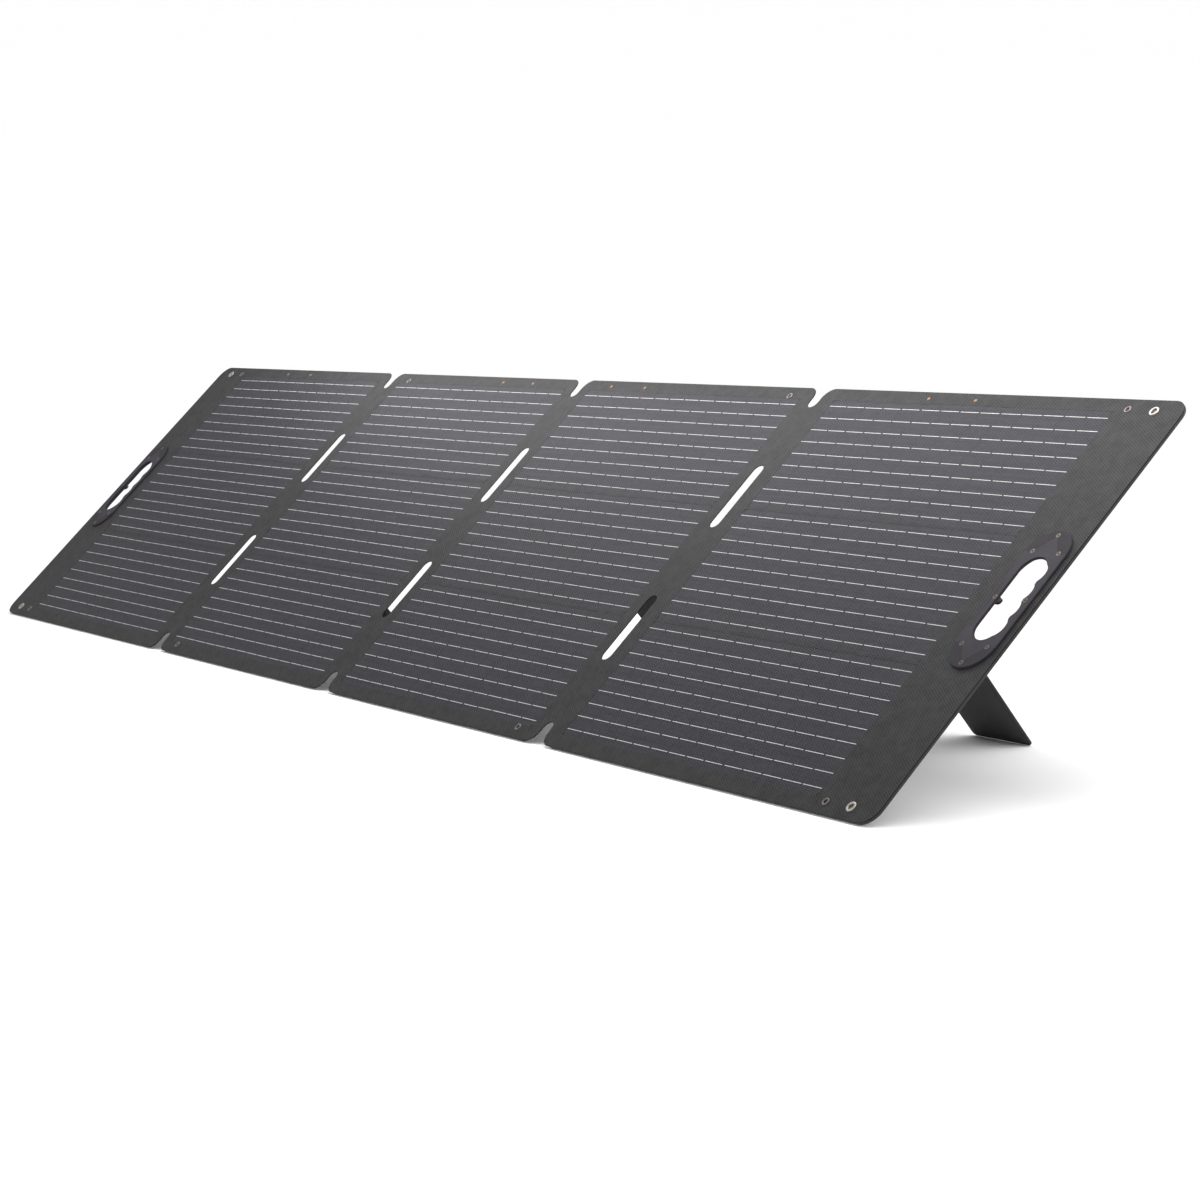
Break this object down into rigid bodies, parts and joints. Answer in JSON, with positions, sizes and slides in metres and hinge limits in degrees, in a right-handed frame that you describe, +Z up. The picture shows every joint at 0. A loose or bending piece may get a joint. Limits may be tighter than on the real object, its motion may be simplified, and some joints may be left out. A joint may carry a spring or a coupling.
{
  "type": "folding solar panel",
  "caption": "Portable folding solar panel: hinged cell leaves with carrying handles, corner eyelets and swing-out rear legs, standing tilted on the ground.",
  "frame": {"origin": "on the ground, in the middle of the open panel's length and depth", "axes": "+X along the leaves' lower edge to the right as seen from the cells' side, +Y away from the viewer towards the legs' feet, +Z up"},
  "size_m": [2.268, 0.472, 0.3851],
  "materials": {
    "etfe_laminate": "embossed film over dark backing, satin",
    "silicon_cells": "dark blue-grey silicon under film",
    "tinned_ribbon": "dull tinned",
    "fibre_board": "matte",
    "polyester_cloth": "woven, coated",
    "copper": "satin",
    "nickel_plate": "bright plated",
    "moulded_nylon": "fine moulded texture",
    "black_steel": "blackened",
    "moulded_abs": "fine moulded texture",
    "circuit_laminate": "lacquered",
    "socket_plastic": "moulded"
  },
  "bodies": {
    "leaf_2": {"leaf_2_front_laminate": "etfe_laminate", "leaf_2_cell_strips": "silicon_cells", "leaf_2_busbar_ribbons": "tinned_ribbon", "leaf_2_stiffener_board": "fibre_board", "leaf_2_back_cover": "polyester_cloth", "leaf_2_terminals": "copper", "leaf_2_magnet_buttons": "nickel_plate", "leaf_2_leg_flap": "polyester_cloth", "hinge_12_web": "etfe_laminate", "hinge_12_conductors": "copper"},
    "leaf_1": {"leaf_1_front_laminate": "etfe_laminate", "leaf_1_cell_strips": "silicon_cells", "leaf_1_busbar_ribbons": "tinned_ribbon", "leaf_1_stiffener_board": "fibre_board", "leaf_1_back_cover": "polyester_cloth", "leaf_1_terminals": "copper", "leaf_1_magnet_buttons": "nickel_plate", "leaf_1_leg_flap": "polyester_cloth", "handle_left_front_plate": "moulded_nylon", "handle_left_back_plate": "moulded_nylon", "handle_left_screws": "black_steel", "leaf_1_eyelets": "nickel_plate", "junction_box_base": "moulded_abs", "junction_box_lid": "moulded_abs", "junction_box_screws": "black_steel", "junction_box_circuit": "circuit_laminate", "output_socket": "socket_plastic"},
    "middle_spine": {"hinge_23_web": "etfe_laminate", "hinge_23_conductors": "copper"},
    "leaf_3": {"leaf_3_front_laminate": "etfe_laminate", "leaf_3_cell_strips": "silicon_cells", "leaf_3_busbar_ribbons": "tinned_ribbon", "leaf_3_stiffener_board": "fibre_board", "leaf_3_back_cover": "polyester_cloth", "leaf_3_terminals": "copper", "leaf_3_magnet_buttons": "nickel_plate", "leaf_3_leg_flap": "polyester_cloth", "hinge_34_web": "etfe_laminate", "hinge_34_conductors": "copper"},
    "leaf_4": {"leaf_4_front_laminate": "etfe_laminate", "leaf_4_cell_strips": "silicon_cells", "leaf_4_busbar_ribbons": "tinned_ribbon", "leaf_4_stiffener_board": "fibre_board", "leaf_4_back_cover": "polyester_cloth", "leaf_4_terminals": "copper", "leaf_4_magnet_buttons": "nickel_plate", "leaf_4_leg_flap": "polyester_cloth", "handle_right_front_plate": "moulded_nylon", "handle_right_back_plate": "moulded_nylon", "handle_right_screws": "black_steel", "leaf_4_eyelets": "nickel_plate"},
    "leg_1": {"leg_1_board": "fibre_board", "leg_1_sleeve": "polyester_cloth"},
    "leg_2": {"leg_2_board": "fibre_board", "leg_2_sleeve": "polyester_cloth"},
    "leg_3": {"leg_3_board": "fibre_board", "leg_3_sleeve": "polyester_cloth"},
    "leg_4": {"leg_4_board": "fibre_board", "leg_4_sleeve": "polyester_cloth"}
  },
  "joints": [
    {"name": "fold_12", "type": "hinge", "parent": "leaf_2", "child": "leaf_1", "pos_m": [-0.53, -0.04753, 0.19665], "axis": [0, 0.7071, 0.7071], "range_deg": [0, 180]},
    {"name": "middle_crease_left", "type": "hinge", "parent": "leaf_2", "child": "middle_spine", "pos_m": [-0.0077, -0.04471, 0.19382], "axis": [0, 0.7071, 0.7071], "range_deg": [0, 90]},
    {"name": "middle_crease_right", "type": "hinge", "parent": "middle_spine", "child": "leaf_3", "pos_m": [0.0077, -0.04471, 0.19382], "axis": [0, 0.7071, 0.7071], "range_deg": [0, 90]},
    {"name": "fold_34", "type": "hinge", "parent": "leaf_3", "child": "leaf_4", "pos_m": [0.53, -0.04753, 0.19665], "axis": [0, -0.7071, -0.7071], "range_deg": [0, 180]},
    {"name": "leg_1_swing", "type": "hinge", "parent": "leaf_1", "child": "leg_1", "pos_m": [-0.752, 0.02311, 0.25329], "axis": [-1, 0, 0], "range_deg": [0, 85]},
    {"name": "leg_2_swing", "type": "hinge", "parent": "leaf_2", "child": "leg_2", "pos_m": [-0.161, 0.02311, 0.25329], "axis": [-1, 0, 0], "range_deg": [0, 85]},
    {"name": "leg_3_swing", "type": "hinge", "parent": "leaf_3", "child": "leg_3", "pos_m": [0.161, 0.02311, 0.25329], "axis": [-1, 0, 0], "range_deg": [0, 85]},
    {"name": "leg_4_swing", "type": "hinge", "parent": "leaf_4", "child": "leg_4", "pos_m": [0.752, 0.02311, 0.25329], "axis": [-1, 0, 0], "range_deg": [0, 85]}
  ],
  "couplings": [
    {"joint": "leg_2_swing", "follows": "middle_crease_left", "ratio": 0.9444},
    {"joint": "leg_3_swing", "follows": "middle_crease_right", "ratio": 0.9444}
  ]
}
